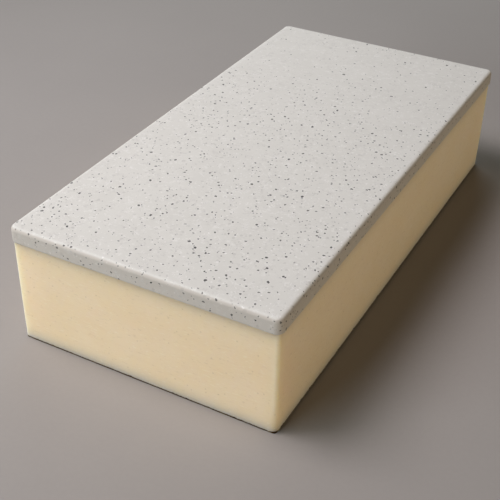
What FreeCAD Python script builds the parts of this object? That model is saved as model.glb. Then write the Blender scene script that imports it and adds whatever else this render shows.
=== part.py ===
import FreeCAD, Part

import os

# Facade insulation board: a stone facing slab bonded to the front of a block of rigid foam.
# It lies on its foam back, with the facing up.
# Origin: centre of the foam's back face. X is the width, Y the length, Z the thickness.
# All sizes are in millimetres.

# Stone facing: rounded plan corners, a pencil-round front edge and an eased back edge
FACING_LENGTH = 600.0
FACING_WIDTH = 300.0
FACING_THICKNESS = 18.0
FACING_CORNER_RADIUS = 8.0
FACING_FRONT_ROUND = 4.5
FACING_BACK_ARRIS = 1.5

# The facing stands proud of the foam by this much on all four sides
FACING_OVERHANG = 2.0

# Foam core: a sawn block with its upright corners and its back edges rubbed off a little
CORE_THICKNESS = 120.0
CORE_CORNER_RADIUS = 4.0
CORE_BACK_ARRIS = 3.0


def upright_edges(block):
    """The straight edges of a block that run along Z."""
    return [edge for edge in block.Edges if abs(edge.tangentAt(edge.FirstParameter).z) > 0.99]


def edges_at(block, height):
    """The edges of a block that lie whole in the level plane at this height."""
    low = height - 1e-4
    high = height + 1e-4
    return [edge for edge in block.Edges if edge.BoundBox.ZMin > low and edge.BoundBox.ZMax < high]


def rounded_block(length, width, base, thickness, corner_radius):
    """A block centred on the Z axis, standing on the plane at base, with its four upright edges rounded."""
    corner = FreeCAD.Vector(-width / 2, -length / 2, base)
    block = Part.makeBox(width, length, thickness, corner)
    return block.makeFillet(corner_radius, upright_edges(block))


def foam_core():
    """The sawn foam block, from the back face up to the facing."""
    length = FACING_LENGTH - 2 * FACING_OVERHANG
    width = FACING_WIDTH - 2 * FACING_OVERHANG
    block = rounded_block(length, width, 0.0, CORE_THICKNESS, CORE_CORNER_RADIUS)
    return block.makeFillet(CORE_BACK_ARRIS, edges_at(block, 0.0))


def stone_facing():
    """The facing slab, bonded on the foam's front face."""
    slab = rounded_block(FACING_LENGTH, FACING_WIDTH, CORE_THICKNESS, FACING_THICKNESS, FACING_CORNER_RADIUS)
    slab = slab.makeFillet(FACING_FRONT_ROUND, edges_at(slab, CORE_THICKNESS + FACING_THICKNESS))
    return slab.makeFillet(FACING_BACK_ARRIS, edges_at(slab, CORE_THICKNESS))


def main():
    os.makedirs("parts", exist_ok=True)
    pieces = {"foam_core": foam_core(), "stone_facing": stone_facing()}
    for node, shape in pieces.items():
        shape.exportStep("parts/" + node + ".step")
        box = shape.optimalBoundingBox(False, False)
        print(node, "valid", shape.isValid(), "solids", len(shape.Solids), "faces", len(shape.Faces))
        print("  size", round(box.XLength, 3), round(box.YLength, 3), round(box.ZLength, 3))
        print("  volume in litres", round(shape.Volume / 1e6, 4))


main()
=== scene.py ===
# %% [markdown]
# # A facade insulation board
# This board clads an outside wall. A thick block of rigid foam keeps the heat in, and a thin slab of
# speckled stone bonded to its front takes the weather. Here it lies on its foam back, stone up.
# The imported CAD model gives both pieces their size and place. Each piece is modelled again over its
# solid with the fine detail that CAD leaves out, so the frame has to be loaded first.

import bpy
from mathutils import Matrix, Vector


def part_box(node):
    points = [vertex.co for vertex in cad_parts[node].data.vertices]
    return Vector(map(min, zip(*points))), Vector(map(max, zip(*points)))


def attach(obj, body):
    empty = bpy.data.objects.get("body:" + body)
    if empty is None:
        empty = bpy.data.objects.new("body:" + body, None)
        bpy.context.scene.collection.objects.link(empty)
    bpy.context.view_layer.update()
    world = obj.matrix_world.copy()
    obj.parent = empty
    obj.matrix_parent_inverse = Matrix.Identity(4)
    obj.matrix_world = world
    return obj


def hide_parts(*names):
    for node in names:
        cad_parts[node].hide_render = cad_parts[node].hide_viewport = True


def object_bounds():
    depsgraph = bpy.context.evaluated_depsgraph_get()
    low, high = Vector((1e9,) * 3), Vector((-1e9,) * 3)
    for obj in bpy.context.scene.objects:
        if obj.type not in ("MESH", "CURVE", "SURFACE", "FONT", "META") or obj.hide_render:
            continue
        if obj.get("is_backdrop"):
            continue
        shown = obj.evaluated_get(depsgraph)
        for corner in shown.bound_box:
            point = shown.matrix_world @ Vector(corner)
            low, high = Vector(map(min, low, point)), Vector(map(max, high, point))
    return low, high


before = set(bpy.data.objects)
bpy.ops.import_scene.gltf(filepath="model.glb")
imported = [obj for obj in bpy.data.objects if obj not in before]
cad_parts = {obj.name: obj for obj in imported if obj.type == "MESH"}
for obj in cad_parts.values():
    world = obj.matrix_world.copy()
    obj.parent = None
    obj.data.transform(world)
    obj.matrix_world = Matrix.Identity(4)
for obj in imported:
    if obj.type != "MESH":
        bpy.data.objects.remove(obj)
cad_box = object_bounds()
print("nodes", sorted(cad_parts))
print("box in metres", [tuple(round(c, 4) for c in corner) for corner in cad_box])

# %% The modules that the cells use
import math
import random

import bmesh
import bpy
from mathutils import Quaternion, Vector, noise

MM = 0.001
scene = bpy.context.scene
scene.view_settings.view_transform = "Standard"
print("one millimetre is", MM, "of a Blender unit")

# %% [markdown]
# ## The camera
# The board is seen from in front and to the right, from a little above. A camera could be placed by
# eye and nudged, but three angles, a distance and a lens say the same thing and can be measured.
# The longer the lens, the less the far end shrinks, and this one is a short telephoto.

# %% Place the camera
VIEW_AZIMUTH = math.radians(28.07)
VIEW_ELEVATION = math.radians(34.46)
VIEW_ROLL = math.radians(1.03)
VIEW_DISTANCE = 1.190
VIEW_TARGET = Vector((-0.0201, -0.0408, 0.0))
SENSOR_WIDTH_MM = 36.0
LENS_MM = 72.1

back = Vector((
    math.sin(VIEW_AZIMUTH) * math.cos(VIEW_ELEVATION),
    -math.cos(VIEW_AZIMUTH) * math.cos(VIEW_ELEVATION),
    math.sin(VIEW_ELEVATION),
))
camera = bpy.data.objects.new("camera", bpy.data.cameras.new("camera"))
scene.collection.objects.link(camera)
camera.data.sensor_width = SENSOR_WIDTH_MM
camera.data.lens = LENS_MM
camera.rotation_mode = "QUATERNION"
camera.location = VIEW_TARGET + back * VIEW_DISTANCE
camera.rotation_quaternion = (-back).to_track_quat("-Z", "Y") @ Quaternion((0, 0, 1), VIEW_ROLL)
scene.camera = camera
print("camera at", [round(c, 3) for c in camera.location])

# %% [markdown]
# ## Node maths that reads as sentences
# A finish is a graph of small nodes, and long graphs are hard to read as code. A class with
# overloaded operators lets a mask be written as `1 - ring * 2`, and each operator adds its Math node.
# Any other node comes from one method that is told the type, the settings and the sockets.

# %% Wrap a socket in a class
class Wire:
    """An output socket of a node tree."""

    def __init__(self, tree, socket=None):
        self.tree = tree
        self.socket = socket

    def node(self, kind, settings=None, inputs=None, output=0):
        """Adds a node, makes its settings, fills its sockets with values or links, and gives its output."""
        made = self.tree.nodes.new(kind)
        for name, value in (settings or {}).items():
            setattr(made, name, value)
        for name, value in (inputs or {}).items():
            if isinstance(value, Wire):
                self.tree.links.new(value.socket, made.inputs[name])
            else:
                made.inputs[name].default_value = value
        return Wire(self.tree, made.outputs[output])

    def math(self, operation, first, second=0.0, clamp=False):
        settings = {"operation": operation, "use_clamp": clamp}
        return self.node("ShaderNodeMath", settings, {0: first, 1: second})

    def __add__(self, other):
        return self.math("ADD", self, other)

    def __radd__(self, other):
        return self.math("ADD", other, self)

    def __sub__(self, other):
        return self.math("SUBTRACT", self, other)

    def __rsub__(self, other):
        return self.math("SUBTRACT", other, self)

    def __mul__(self, other):
        return self.math("MULTIPLY", self, other)

    def __rmul__(self, other):
        return self.math("MULTIPLY", other, self)

    def __truediv__(self, other):
        return self.math("DIVIDE", self, other)

    def __pow__(self, other):
        return self.math("POWER", self, other)


print("a Wire adds, subtracts, multiplies, divides and raises")

# %% [markdown]
# Short helpers cover what the finishes need: a soft step between two values, a soft random value, a
# blend of two colours, one part of a vector or colour, a shifted place, the distance to scattered
# points, and a bump. Two more make a material and link what varies over the surface to its shader.

# %% Helpers for masks and colours
def soft_step(wire, start, end):
    """Goes from 0 to 1, with soft shoulders, as the wire goes from start to end."""
    settings = {"interpolation_type": "SMOOTHSTEP"}
    return wire.node("ShaderNodeMapRange", settings, {"Value": wire, "From Min": start, "From Max": end})


def cloud(place, size, detail=2.0, roughness=0.5):
    """A soft random value round 0.5. Its blotches are about size metres across."""
    sockets = {"Vector": place, "Scale": 1.0 / size, "Detail": detail, "Roughness": roughness}
    return place.node("ShaderNodeTexNoise", {}, sockets, "Fac")


def blend(factor, low, high):
    """Goes from the colour low to the colour high as the factor goes from 0 to 1."""
    return factor.node("ShaderNodeMix", {"data_type": "RGBA"}, {0: factor, 6: low, 7: high}, 2)


def part(wire, axis):
    """The X, Y or Z part of a vector, or of a colour taken as one."""
    return wire.node("ShaderNodeSeparateXYZ", {}, {0: wire}, axis)


def shift(place, amount, scale=(1.0, 1.0, 1.0), turn=(0.0, 0.0, 0.0)):
    """Moves, turns and stretches the place that a pattern is read from."""
    sockets = {"Vector": place, "Location": amount, "Rotation": turn, "Scale": scale}
    return place.node("ShaderNodeMapping", {}, sockets)


def scattered(place, spacing):
    """How far the nearest of many scattered points is, as a share of the spacing between them."""
    return place.node("ShaderNodeTexVoronoi", {}, {"Vector": place, "Scale": 1.0 / spacing}, "Distance")


def bump(height, strength, distance):
    """The normal of a surface that rises by the distance where the height goes from 0 to 1."""
    sockets = {"Strength": strength, "Distance": distance, "Height": height}
    return height.node("ShaderNodeBump", {}, sockets, "Normal")


def new_finish(name, constants):
    """A material with one Principled shader. Values that are the same all over are set on its sockets."""
    material = bpy.data.materials.new(name)
    material.use_nodes = True
    shader = material.node_tree.nodes["Principled BSDF"]
    for socket, value in constants.items():
        shader.inputs[socket].default_value = value
    place = Wire(material.node_tree).node("ShaderNodeTexCoord", output="Object")
    return material, shader, place


def feed(shader, sockets):
    """Links what varies over the surface to the shader."""
    for name, wire in sockets.items():
        wire.tree.links.new(wire.socket, shader.inputs[name])


print("helpers ready")

# %% [markdown]
# ## The floor
# The board lies on a plain matt floor of warm grey. One large square is enough, because the camera
# never sees its edge. The finish drifts very slightly in tone and has a fine tooth, as paper or board
# does, so that the soft shadow falls on something real. The lamps don't reach far, so between 0.6 and
# 1.5 m out the floor fades, for the camera alone, into the plain grey that lies beyond it. A curved
# backdrop would do the same from one side only, and this works from all sides and throws no light on
# the board.

# %% Lay the floor
FLOOR_COLOUR = (0.378, 0.355, 0.338, 1.0)
BEYOND_COLOUR = (0.272, 0.255, 0.245, 1.0)
FLOOR_SIDE = 24.0
FADE_START = 0.6
FADE_END = 1.5


def mesh_object(name, shape, smooth=True):
    """Turns a bmesh into an object at the origin, with its place in its mesh."""
    mesh = bpy.data.meshes.new(name)
    shape.to_mesh(mesh)
    shape.free()
    mesh.polygons.foreach_set("use_smooth", [smooth] * len(mesh.polygons))
    made = bpy.data.objects.new(name, mesh)
    scene.collection.objects.link(made)
    return made


sheet = bmesh.new()
bmesh.ops.create_grid(sheet, x_segments=1, y_segments=1, size=FLOOR_SIDE / 2)
floor = mesh_object("floor", sheet, smooth=False)
floor_finish, floor_shader, place = new_finish("matt_grey_floor", {
    "Roughness": 0.95,
    "Specular IOR Level": 0.1,
})
drift = soft_step(cloud(place, 0.25, 4.0, 0.6), 0.3, 0.7)
tooth = soft_step(cloud(place, 5.0 * MM, 3.0, 0.6), 0.3, 0.7)
darker = tuple(c * 0.980 for c in FLOOR_COLOUR[:3]) + (1.0,)
lighter = tuple(c * 1.020 for c in FLOOR_COLOUR[:3]) + (1.0,)
feed(floor_shader, {"Base Color": blend(drift * 0.6 + tooth * 0.4, darker, lighter)})
from_board = place.node("ShaderNodeVectorMath", {"operation": "LENGTH"}, {0: place}, "Value")
seen = place.node("ShaderNodeLightPath", output="Is Camera Ray")
lit = Wire(place.tree, floor_shader.outputs["BSDF"])
grey = place.node("ShaderNodeEmission", {}, {"Color": BEYOND_COLOUR, "Strength": 1.0})
fade = soft_step(from_board, FADE_START, FADE_END) * seen
faded = place.node("ShaderNodeMixShader", {}, {0: fade, 1: lit, 2: grey})
place.tree.links.new(faded.socket, place.tree.nodes["Material Output"].inputs["Surface"])
floor.data.materials.append(floor_finish)
floor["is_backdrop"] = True
print("floor", FLOOR_SIDE, "m square")

# %% [markdown]
# ## The light
# The light is that of a small studio. A large soft lamp high on the left is the key: it throws the
# short shadow to the right, and its size gives that shadow its wide soft edge. A wide low lamp in
# front lights the near end. Two weak ones, a warm one low on the right and a cool one behind, keep the
# shadow side from going black. A world alone would light the board from all sides and leave no
# shadow, and bare points would throw hard ones, so each lamp is an area lamp.

# %% Hang the lamps
LAMP_AIM = Vector((0.0, 0.0, 0.1))


def hang_lamp(name, azimuth, elevation, distance, width, height, watts, colour):
    """An area lamp that faces the board. Azimuth 0 is in front of its near end, and 90 on its right."""
    a, e = math.radians(azimuth), math.radians(elevation)
    towards = Vector((math.sin(a) * math.cos(e), -math.cos(a) * math.cos(e), math.sin(e)))
    lamp = bpy.data.lights.new(name, "AREA")
    lamp.shape = "RECTANGLE"
    lamp.size = width
    lamp.size_y = height
    lamp.energy = watts
    lamp.color = colour
    holder = bpy.data.objects.new(name, lamp)
    holder.location = LAMP_AIM + towards * distance
    holder.rotation_mode = "QUATERNION"
    holder.rotation_quaternion = (-towards).to_track_quat("-Z", "Y")
    scene.collection.objects.link(holder)
    print(name, "at", [round(c, 2) for c in holder.location], "with", watts, "W")


hang_lamp("key_lamp", -60, 60, 2.0, 1.0, 1.0, 31.6, (1.0, 0.94, 0.955))
hang_lamp("low_lamp", -26, 12, 2.4, 1.6, 1.4, 34.0, (0.875, 0.96, 0.99))
hang_lamp("warm_lamp", 78, 6.5, 3.0, 2.0, 0.70, 21.4, (1.0, 0.86, 0.61))
hang_lamp("rear_lamp", -150, 15, 2.4, 1.6, 1.4, 19.5, (0.895, 0.99, 1.0))

# %% [markdown]
# The world is nearly dark for the board. For the camera it is the plain grey that the floor fades
# into, so that a low view shows no horizon. Light Path tells the two apart.

# %% Make the world
FILL_COLOUR = (1.0, 1.0, 1.0, 1.0)
FILL_STRENGTH = 0.012

world = bpy.data.worlds.new("studio")
scene.world = world
world.use_nodes = True
world.node_tree.nodes.clear()
studio = Wire(world.node_tree)
fill = studio.node("ShaderNodeBackground", {}, {"Color": FILL_COLOUR, "Strength": FILL_STRENGTH})
beyond = studio.node("ShaderNodeBackground", {}, {"Color": BEYOND_COLOUR, "Strength": 1.0})
seen = studio.node("ShaderNodeLightPath", output="Is Camera Ray")
mixed = studio.node("ShaderNodeMixShader", {}, {0: seen, 1: fill, 2: beyond})
ending = world.node_tree.nodes.new("ShaderNodeOutputWorld")
world.node_tree.links.new(mixed.socket, ending.inputs["Surface"])
print("fill strength", FILL_STRENGTH)

# %% [markdown]
# ## The shape of the foam block
# The core is cut from a thick bun of closed-cell foam with a saw or a hot wire. Its faces are flat but
# not perfect, its upright corners and back edges are rubbed round, and small bits have broken off
# along the edges. A cube gives the size, a bevel rounds the upright edges, and a second bevel eases
# the edge round the back. That last arc is kept small, because what rounds the real edge is crumbling,
# and a later step crumbles it.

# %% Cut a block with rounded edges
def rounded_block(low, high, corner_radius, corner_steps):
    """A block from one corner to the other, with its four upright edges rounded."""
    block = bmesh.new()
    bmesh.ops.create_cube(block, size=1.0)
    bmesh.ops.scale(block, vec=high - low, verts=block.verts)
    bmesh.ops.translate(block, vec=(low + high) / 2, verts=block.verts)
    upright = [edge for edge in block.edges if abs(edge.verts[0].co.z - edge.verts[1].co.z) > MM]
    ease(block, upright, corner_radius, corner_steps)
    return block


def ease(block, edges, radius, steps):
    """Rounds these edges with an arc of this radius."""
    bmesh.ops.bevel(
        block, geom=edges, offset=radius, offset_type="OFFSET", segments=steps, profile=0.5,
        affect="EDGES", material=-1, clamp_overlap=False,
    )


def rim(block, height):
    """The edges that lie in the level plane at this height and border an upright face."""
    level = [edge for edge in block.edges if all(abs(v.co.z - height) < 1e-6 for v in edge.verts)]
    return [edge for edge in level if any(abs(face.normal.z) < 0.5 for face in edge.link_faces)]


FOAM_CORNER = 4.0 * MM
FOAM_CORNER_STEPS = 8
FOAM_BACK_ARRIS = 0.8 * MM
ARRIS_STEPS = 3
foam_low, foam_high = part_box("foam_core")
foam = rounded_block(foam_low, foam_high, FOAM_CORNER, FOAM_CORNER_STEPS)
foam.normal_update()
ease(foam, rim(foam, foam_low.z), FOAM_BACK_ARRIS, ARRIS_STEPS)
print("foam block", len(foam.faces), "faces")

# %% [markdown]
# Detail needs points to move. Slicing the block with level and upright planes lays an even net over
# it, and a second, finer division of the walls gives about 2.5 mm between points. The bands next to
# the edges are divided once more, because that is where the foam crumbles. Last come thin strips
# beside the rounded edges. Without them, the smooth shading of an edge spreads over the flat face.

# %% Lay a net of points over the block
def slice_block(block, axis, places):
    """Cuts the faces of the block with planes across an axis. Nothing is taken away."""
    across = Vector((0.0, 0.0, 0.0))
    across[axis] = 1.0
    for at in places:
        everything = block.verts[:] + block.edges[:] + block.faces[:]
        bmesh.ops.bisect_plane(block, geom=everything, dist=1e-6, plane_co=across * at, plane_no=across)


def even_places(low, high, step, margin):
    """Places from low to high, kept clear of both ends by a margin, about a step apart."""
    count = max(1, round((high - low - 2 * margin) / step))
    return [low + margin + (high - low - 2 * margin) * i / count for i in range(count + 1)]


def divide(block, chosen):
    """Cuts every edge of the chosen faces in two and joins the cuts."""
    edges = list({edge for face in chosen for edge in face.edges})
    bmesh.ops.subdivide_edges(block, edges=edges, cuts=1, use_grid_fill=True)
    block.normal_update()


NET = 5.0 * MM
HOLD = 0.8 * MM
slice_block(foam, 0, even_places(foam_low.x, foam_high.x, NET, FOAM_CORNER))
slice_block(foam, 1, even_places(foam_low.y, foam_high.y, NET, FOAM_CORNER))
slice_block(foam, 2, even_places(foam_low.z, foam_high.z, NET, NET))
foam.normal_update()
divide(foam, [face for face in foam.faces if abs(face.normal.z) < 0.5])
walls = [face for face in foam.faces if abs(face.normal.z) < 0.5]
near_edge = []
for wall in walls:
    middle = wall.calc_center_median().z
    if min(middle, foam_high.z - middle) < NET:
        near_edge.append(wall)
divide(foam, near_edge)
slice_block(foam, 0, (foam_low.x + FOAM_CORNER + HOLD, foam_high.x - FOAM_CORNER - HOLD))
slice_block(foam, 1, (foam_low.y + FOAM_CORNER + HOLD, foam_high.y - FOAM_CORNER - HOLD))
slice_block(foam, 2, (foam_low.z + FOAM_BACK_ARRIS + HOLD,))
print("net of", len(foam.verts), "points")

# %% [markdown]
# A saw leaves a wall that is flat to a hair but not dead flat. Soft noise, read at each point's own
# place, gives that wave, and sharper noise near the edges breaks bits off. The lower corners are
# knocked rounder, each by its own amount, as happens to a block that is set down on them. All of it
# goes inwards, so the block never grows past its CAD size. Points near the floor move only level, or
# the block would lift off it, and the face under the stone stays flat for the bond.

# %% Wave the walls and crumble the edges
WAVE_DEPTH = 0.30 * MM
CRUMB_DEPTH = 0.95 * MM
LEVEL_MOVES = 2.0 * MM
WAVE_LENGTH = 90.0 * MM
WAVE_HEIGHT = 18.0 * MM
# How deep each lower corner is knocked in, by the sides of X and Y that it lies on
KNOCKS = {(1, -1): 1.6 * MM, (1, 1): 0.9 * MM, (-1, 1): 1.2 * MM, (-1, -1): 0.3 * MM}


def ramp(value, start, end):
    """0 at the start, 1 at the end, and soft in between."""
    t = min(1.0, max(0.0, (value - start) / (end - start)))
    return t * t * (3.0 - 2.0 * t)


def crumbling(spot, nearness):
    """How deep the foam is broken away at a spot, from 0 to 1, for a nearness to an edge from 0 to 1."""
    coarse = noise.noise(spot / (9.0 * MM))
    fine = noise.noise(spot / (2.6 * MM) + Vector((7.0, 3.0, 5.0)))
    return nearness * ramp(fine + 0.6 * coarse, 0.12, 0.75)


foam.normal_update()
moves = []
for vert in foam.verts:
    level = vert.co.z - foam_low.z
    if foam_high.z - vert.co.z < 1e-6 and abs(vert.normal.z) > 0.9:
        continue
    inwards = -vert.normal
    if level < LEVEL_MOVES or vert.co.z > foam_high.z - 1e-6:
        inwards = Vector((inwards.x, inwards.y, 0.0)).normalized()
    spot = Vector((vert.co.x / WAVE_LENGTH, vert.co.y / WAVE_LENGTH, vert.co.z / WAVE_HEIGHT))
    wave = 0.5 + 0.5 * noise.noise(spot)
    near_back = 1.0 - ramp(level, 0.0, 4.0 * MM)
    near_front = 1.0 - ramp(foam_high.z - vert.co.z, 0.0, 3.0 * MM)
    from_corner = math.hypot(foam_high.x - abs(vert.co.x), foam_high.y - abs(vert.co.y))
    near_corner = 1.0 - ramp(from_corner, 1.5 * MM, 8.0 * MM)
    near_corner *= 1.0 - ramp(level, 2.0 * MM, 45.0 * MM)
    corner = (1 if vert.co.x > 0.0 else -1, 1 if vert.co.y > 0.0 else -1)
    depth = WAVE_DEPTH * wave + CRUMB_DEPTH * crumbling(vert.co, max(near_back, 0.6 * near_front))
    depth += KNOCKS[corner] * near_corner
    if abs(vert.normal.z) > 0.95:
        depth = 0.0
    moves.append((vert, inwards * depth))
for vert, move in moves:
    vert.co += move
print("moved", len(moves), "points by up to", round(max(m.length for v, m in moves) / MM, 2), "mm")

# %% [markdown]
# Where the saw opens a large bubble, it leaves a small round pit. Each is a face of the net: its
# border is cut to eight points, the points go onto a circle, and the middle is sunk in two steps.

# %% Sink the open bubbles
def sink_pits(block, cells, radius, depth):
    """Turns each of these faces into a round pit."""
    bmesh.ops.inset_individual(block, faces=cells, thickness=0.12 * MM, depth=0.0)
    bmesh.ops.bisect_edges(block, edges=list({edge for cell in cells for edge in cell.edges}), cuts=1)
    for cell in cells:
        middle = cell.calc_center_median()
        for vert in cell.verts:
            vert.co = middle + (vert.co - middle).normalized() * radius
    bmesh.ops.inset_individual(block, faces=cells, thickness=0.22 * radius, depth=-0.65 * depth)
    bmesh.ops.inset_individual(block, faces=cells, thickness=0.30 * radius, depth=-0.35 * depth)


# Radius, depth and how many pits. Only the full cells of the walls, away from the edges, have room.
PIT_SIZES = ((0.50 * MM, 0.12 * MM, 160), (0.70 * MM, 0.18 * MM, 90), (0.95 * MM, 0.25 * MM, 40))
FULL_CELL = 5.2 * MM * MM
chance = random.Random(41)
foam.normal_update()
inner = [face for face in foam.faces if abs(face.normal.z) < 0.2 and face.calc_area() > FULL_CELL]
chance.shuffle(inner)
for radius, depth, count in PIT_SIZES:
    cells, inner = inner[:count], inner[count:]
    sink_pits(foam, cells, radius, depth)
    print(count, "pits", round(2 * radius / MM, 1), "mm across")

# %% Finish the foam mesh
foam_block = mesh_object("sawn_foam_block", foam)
print("foam triangles", sum(len(face.vertices) - 2 for face in foam_block.data.polygons))

# %% [markdown]
# ## The finish of the foam
# The foam is cream yellow and matt. Light goes a little way into it and comes out again, which makes
# its corners glow and softens the step from the lit side to the dark one. A plain matt shader can't do
# that, so this one scatters light below the surface. The cells are too small to see one by one, but
# they give a fine grain, faint level streaks where the foam rose, pale torn dashes, small nicks and a
# slow drift of tone, and there are pale crumbs near the floor. Shade is painted on as well: a greyish
# painted shade towards the floor, a dark painted contact shadow along the very bottom, and a faint
# painted shade under the slab.

# %% Finish the foam
FOAM_COLOUR = (0.886, 0.692, 0.460, 1.0)
FOAM_PALE = (0.899, 0.712, 0.494, 1.0)
FOAM_DEEP = (0.842, 0.636, 0.403, 1.0)
FOAM_TORN = (0.930, 0.775, 0.575, 1.0)
FOAM_CRUMB = (0.900, 0.820, 0.720, 1.0)
FOAM_NICK = (0.560, 0.400, 0.250, 1.0)
# Painted shade: a grey that darkens the foam towards the floor.
FOAM_FLOOR_SHADE = (0.370, 0.350, 0.310, 1.0)
# Painted shade: a brown that darkens the foam just under the overhanging slab.
FOAM_SLAB_SHADE = (0.480, 0.355, 0.245, 1.0)
# Painted shadow: a near-black brown for the contact line at the very bottom.
FOAM_CONTACT_SHADOW = (0.085, 0.038, 0.012, 1.0)
FLOOR_SHADE_HEIGHT = 27.0 * MM
SLAB_SHADE_DEPTH = 24.0 * MM

foam_finish, foam_shader, place = new_finish("closed_cell_foam", {
    "Specular IOR Level": 0.05,
    "Subsurface Weight": 1.0,
    "Subsurface Radius": (1.0, 0.95, 0.65),
    "Subsurface Scale": 22.0 * MM,
})
drift = cloud(place, 0.06, 3.0)
level_streaks = cloud(shift(place, (0.3, 0.1, 0.7), (14.0, 14.0, 160.0)), 1.0, 4.0, 0.6)
cells = scattered(place, 0.8 * MM)
grain = cloud(place, 1.6 * MM, 3.0, 0.65)
up = part(place, 2) + (grain - 0.5) * (1.2 * MM)
# Painted shade that darkens the foam towards the floor.
painted_floor_shade = up.math("SUBTRACT", 1.0, up / FLOOR_SHADE_HEIGHT, clamp=True) ** 3.0
# Painted shade that darkens the foam just under the slab.
painted_slab_shade = up.math("SUBTRACT", 1.0, (foam_high.z - up) / SLAB_SHADE_DEPTH, clamp=True) ** 2.5
# A painted contact shadow: a thin dark line along the very bottom edge.
painted_contact_shadow = 1.0 - soft_step(up, 1.5 * MM, 2.4 * MM)
crumbs = soft_step(cloud(shift(place, (0.2, 0.5, 0.9)), 2.0 * MM, 2.0, 0.6), 0.58, 0.72)
torn = cloud(shift(place, (0.6, 0.4, 0.2), (150.0, 150.0, 600.0)), 1.0, 2.0)
pale_dashes = soft_step(torn, 0.60, 0.72)
dark_dashes = 1.0 - soft_step(torn, 0.26, 0.38)
nicks = 1.0 - soft_step(scattered(place, 8.0 * MM), 0.06, 0.15)
tone = blend(soft_step(drift, 0.35, 0.65), FOAM_COLOUR, FOAM_PALE)
tone = blend(soft_step(level_streaks, 0.50, 0.72) * 0.20, tone, FOAM_DEEP)
tone = blend(soft_step(grain, 0.55, 0.80) * 0.45, tone, FOAM_DEEP)
tone = blend(pale_dashes * 0.60, tone, FOAM_TORN)
tone = blend(dark_dashes * 0.20, tone, FOAM_NICK)
tone = blend(nicks * 0.34, tone, FOAM_NICK)
# Painted shade under the slab.
tone = blend(painted_slab_shade * 0.40, tone, FOAM_SLAB_SHADE)
# Painted shade towards the floor, and real pale crumbs that lie only in that band.
tone = blend(painted_floor_shade * 0.80, tone, FOAM_FLOOR_SHADE)
tone = blend(crumbs * painted_floor_shade * 0.50, tone, FOAM_CRUMB)
# Painted contact shadow along the bottom edge.
tone = blend(painted_contact_shadow * 0.96, tone, FOAM_CONTACT_SHADOW)
height = grain * 0.6 + cells * 0.25 + level_streaks * 0.5
relief = bump(height, 0.35, 0.5 * MM)
feed(foam_shader, {"Base Color": tone, "Roughness": 0.82 + 0.12 * grain, "Normal": relief})
foam_block.data.materials.append(foam_finish)
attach(foam_block, "root")
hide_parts("foam_core")
print("foam finish", len(foam_finish.node_tree.nodes), "nodes")

# %% [markdown]
# ## The shape of the stone slab
# The facing is sawn to size, its corners are rounded in plan, its front edge is ground to a pencil
# round, and its back edge is just eased. It stands a little proud of the foam all round, so that two
# boards meet stone to stone. It starts as a rounded block too, with finer arcs.

# %% Cut the slab
SLAB_CORNER = 8.0 * MM
SLAB_CORNER_STEPS = 14
SLAB_FRONT_ROUND = 4.5 * MM
SLAB_FRONT_STEPS = 7
SLAB_BACK_ARRIS = 1.5 * MM
slab_low, slab_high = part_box("stone_facing")
slab = rounded_block(slab_low, slab_high, SLAB_CORNER, SLAB_CORNER_STEPS)
slab.normal_update()
ease(slab, rim(slab, slab_high.z), SLAB_FRONT_ROUND, SLAB_FRONT_STEPS)
slab.normal_update()
ease(slab, rim(slab, slab_low.z), SLAB_BACK_ARRIS, ARRIS_STEPS)
slab.normal_update()
print("slab", len(slab.faces), "faces")

# %% [markdown]
# The slab gets the same kind of net. Its border is narrow and catches the light, so every long edge
# there is cut in three.

# %% Lay a net over the slab
BORDER_NET = 3.0 * MM
LONG_EDGE = 2.6 * MM
border_low = slab_low.z + SLAB_BACK_ARRIS
border_high = slab_high.z - SLAB_FRONT_ROUND
slice_block(slab, 0, even_places(slab_low.x, slab_high.x, NET, SLAB_CORNER))
slice_block(slab, 1, even_places(slab_low.y, slab_high.y, NET, SLAB_CORNER))
slice_block(slab, 2, even_places(border_low, border_high, BORDER_NET, 0.0))
slab.normal_update()
long_edges = [
    edge for edge in slab.edges
    if edge.calc_length() > LONG_EDGE and any(abs(face.normal.z) < 0.99 for face in edge.link_faces)
]
bmesh.ops.subdivide_edges(slab, edges=long_edges, cuts=2, use_grid_fill=True)
for margin in (SLAB_CORNER + HOLD, SLAB_FRONT_ROUND + HOLD):
    slice_block(slab, 0, (slab_low.x + margin, slab_high.x - margin))
    slice_block(slab, 1, (slab_low.y + margin, slab_high.y - margin))
slice_block(slab, 2, (border_low + HOLD, border_high - HOLD))
print("net of", len(slab.verts), "points")

# %% [markdown]
# Grinding leaves the edge very slightly wavy, and transport knocks small chips off it. Both are moved
# inwards from the CAD shape, the chips only in a few places where a coarse noise is high.

# %% Wave the edge and chip it
EDGE_WAVE = 0.12 * MM
CHIP_DEPTH = 0.7 * MM
slab.normal_update()
moves = []
for vert in slab.verts:
    if abs(vert.normal.z) > 0.999:
        continue
    wave = 0.5 + 0.5 * noise.noise(vert.co / (30.0 * MM))
    near_back = 1.0 - ramp(vert.co.z - slab_low.z, 0.5 * MM, 3.0 * MM)
    near_front = 1.0 - ramp(abs(slab_high.z - 1.3 * MM - vert.co.z), 0.3 * MM, 2.5 * MM)
    chip = ramp(noise.noise(vert.co / (5.0 * MM) + Vector((2.0, 9.0, 4.0))), 0.42, 0.70)
    depth = EDGE_WAVE * wave + CHIP_DEPTH * chip * max(near_back, 0.5 * near_front)
    moves.append((vert, -vert.normal * depth))
for vert, move in moves:
    vert.co += move
stone_slab = mesh_object("speckled_stone_slab", slab)
print("stone triangles", sum(len(face.vertices) - 2 for face in stone_slab.data.polygons))

# %% [markdown]
# ## The finish of the stone
# The stone is light grey with crisp dark specks all through it, so the specks on the edge belong to
# the same solid as those on top. A Voronoi texture scatters points through space. A speck is the
# ball round such a point, and the surface cuts the balls into discs of many sizes. Noise bends the
# space first, so that no speck is quite round.

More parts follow.
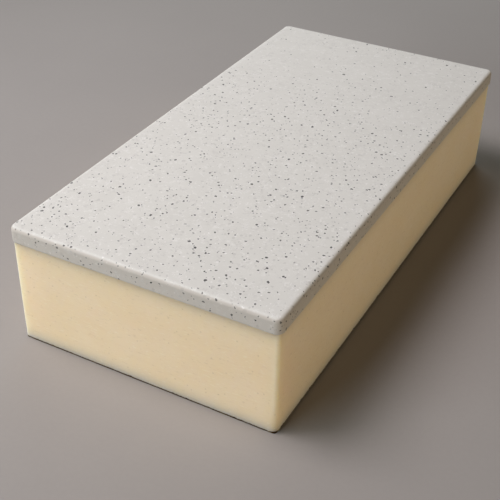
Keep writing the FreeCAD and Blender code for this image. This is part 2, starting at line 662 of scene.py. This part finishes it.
# %% Scatter specks through the stone
def specks(place, spacing, small, large, share, offset):
    """A mask of specks. One point sits in each cube of the spacing, a share of them has a speck round
    it, and its radius lies between small and large. Gives the specks, a pale ring round each, and a
    random value per speck."""
    where = shift(place, offset, (1.0 / spacing,) * 3)
    points = place.node("ShaderNodeTexVoronoi", {}, {"Vector": where, "Scale": 1.0}, "Distance")
    luck = Wire(place.tree, points.socket.node.outputs["Color"])
    radius = small / spacing + part(luck, 0) * ((large - small) / spacing)
    there = luck.math("LESS_THAN", part(luck, 1), share)
    disc = luck.math("DIVIDE", radius - points, radius * 0.16, clamp=True)
    ring = luck.math("DIVIDE", radius * 1.9 - points, radius * 0.9, clamp=True)
    return disc * there, ring * there, part(luck, 2)


SPECK_BLACK = (0.030, 0.027, 0.025, 1.0)
SPECK_GREY = (0.200, 0.190, 0.180, 1.0)
SPECK_PALE = (0.930, 0.915, 0.890, 1.0)
PORE = (0.090, 0.078, 0.068, 1.0)
# Spacing, smallest and largest radius, the share of points used, depth of colour, colour, place
SPECK_KINDS = (
    (8.0 * MM, 1.20 * MM, 2.10 * MM, 0.70, 0.20, SPECK_GREY, (0.61, 0.07, 0.29)),
    (6.0 * MM, 0.70 * MM, 1.20 * MM, 0.80, 0.85, SPECK_PALE, (0.31, 0.57, 0.11)),
    (6.3 * MM, 0.60 * MM, 1.00 * MM, 0.80, 0.85, SPECK_GREY, (0.83, 0.41, 0.67)),
    (7.0 * MM, 0.83 * MM, 1.30 * MM, 0.95, 0.95, SPECK_BLACK, (0.53, 0.21, 0.97)),
    (9.6 * MM, 1.15 * MM, 1.65 * MM, 0.80, 1.00, SPECK_BLACK, (0.13, 0.71, 0.37)),
    (5.4 * MM, 0.85 * MM, 1.40 * MM, 0.55, 0.90, PORE, (0.47, 0.33, 0.79)),
)

BEND_SIZE = 3.4 * MM

stone_finish, stone_shader, place = new_finish("speckled_stone", {"Specular IOR Level": 0.18})
sockets = {"Vector": place, "Scale": 1.0 / BEND_SIZE, "Detail": 2.0}
bend = place.node("ShaderNodeTexNoise", {}, sockets, "Color")
bend = bend.node("ShaderNodeVectorMath", {"operation": "SUBTRACT"}, {0: bend, 1: (0.5, 0.5, 0.5)})
bend = bend.node("ShaderNodeVectorMath", {"operation": "SCALE"}, {0: bend, "Scale": BEND_SIZE})
bent = bend.node("ShaderNodeVectorMath", {"operation": "ADD"}, {0: place, 1: bend})
print(len(SPECK_KINDS), "kinds of speck")

# %% [markdown]
# The ground top is clean and pale, while the sawn sides stay darker and warmer and show small open
# pores, and the colour changes over the round front edge. A mask on the height draws that change. The
# rest of the colour is laid on in thin coats, from the largest and faintest to the smallest and
# darkest: a slow drift, fine grit, faint winding flecks, and then the specks. The specks thin out
# towards the far end, so the share of points that have one falls along Y. Grinding bruises the stone
# next to a dark grain, which leaves a faint pale ring round each.

# %% Mix the stone's colours
STONE_COLOUR = (0.726, 0.713, 0.668, 1.0)
STONE_PALE = (0.748, 0.735, 0.690, 1.0)
STONE_GREY = (0.560, 0.540, 0.515, 1.0)
SIDE_COLOUR = (0.568, 0.516, 0.464, 1.0)


def winding(place, size, width, patch):
    """Thin winding flecks, where a soft random value passes its middle, in patches of a given size."""
    level = cloud(place, size, 3.0, 0.6) - 0.5
    lines = 1.0 - soft_step(level.math("ABSOLUTE", level), 0.0, width)
    return lines * soft_step(cloud(shift(place, (0.3, 0.9, 0.2)), patch, 2.0), 0.50, 0.64)


mottle = cloud(place, 0.045, 3.0, 0.55)
grit = cloud(place, 1.2 * MM, 2.0, 0.6)
grey_flecks = winding(bent, 7.0 * MM, 0.050, 9.0 * MM)
pale_flecks = winding(shift(bent, (0.4, 0.8, 0.6)), 6.0 * MM, 0.050, 8.0 * MM)
top_face = soft_step(part(place, 2), slab_high.z - 2.2 * MM, slab_high.z - 0.15 * MM)
clean = 0.25 + 0.75 * top_face
tone = blend(soft_step(mottle, 0.3, 0.7), STONE_COLOUR, STONE_PALE)
tone = blend(top_face, SIDE_COLOUR, tone)
tone = blend(soft_step(grit, 0.55, 0.80) * 0.15, tone, STONE_GREY)
tone = blend(grey_flecks * 0.42, tone, STONE_GREY)
tone = blend(pale_flecks * clean * 0.45, tone, SPECK_PALE)
crowding = 1.0 - 0.75 * soft_step(part(place, 1), 0.00, 0.24)
hollow = 0.0
for spacing, small, large, share, depth, colour, offset in SPECK_KINDS:
    speck, ring, luck = specks(bent, spacing, small, large, crowding * share, offset)
    weight = depth * (0.6 + 0.4 * luck)
    if colour is SPECK_PALE:
        weight = weight * clean
    if colour is PORE:
        weight = weight * (1.0 - top_face)
    if colour is SPECK_BLACK:
        tone = blend(ring * clean * 0.24, tone, SPECK_PALE)
        hollow = speck + hollow
    tone = blend(speck * weight, tone, colour)
height = grit * 0.3 + mottle * 0.2 - hollow * 0.4
relief = bump(height, 0.3, 0.3 * MM)
gloss = 0.60 + 0.12 * grit - 0.15 * hollow
feed(stone_shader, {"Base Color": tone, "Roughness": gloss, "Normal": relief})
stone_slab.data.materials.append(stone_finish)
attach(stone_slab, "root")
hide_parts("stone_facing")
print("stone finish", len(stone_finish.node_tree.nodes), "nodes")

# %% [markdown]
# ## The two boxes
# The dressed board has to fit the CAD box, so both boxes are printed.

# %% Write the sizes and finish
visual_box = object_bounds()
for label, box in (("CAD box", cad_box), ("visual box", visual_box)):
    print(label, [[round(c / MM, 2) for c in corner] for corner in box], "mm")
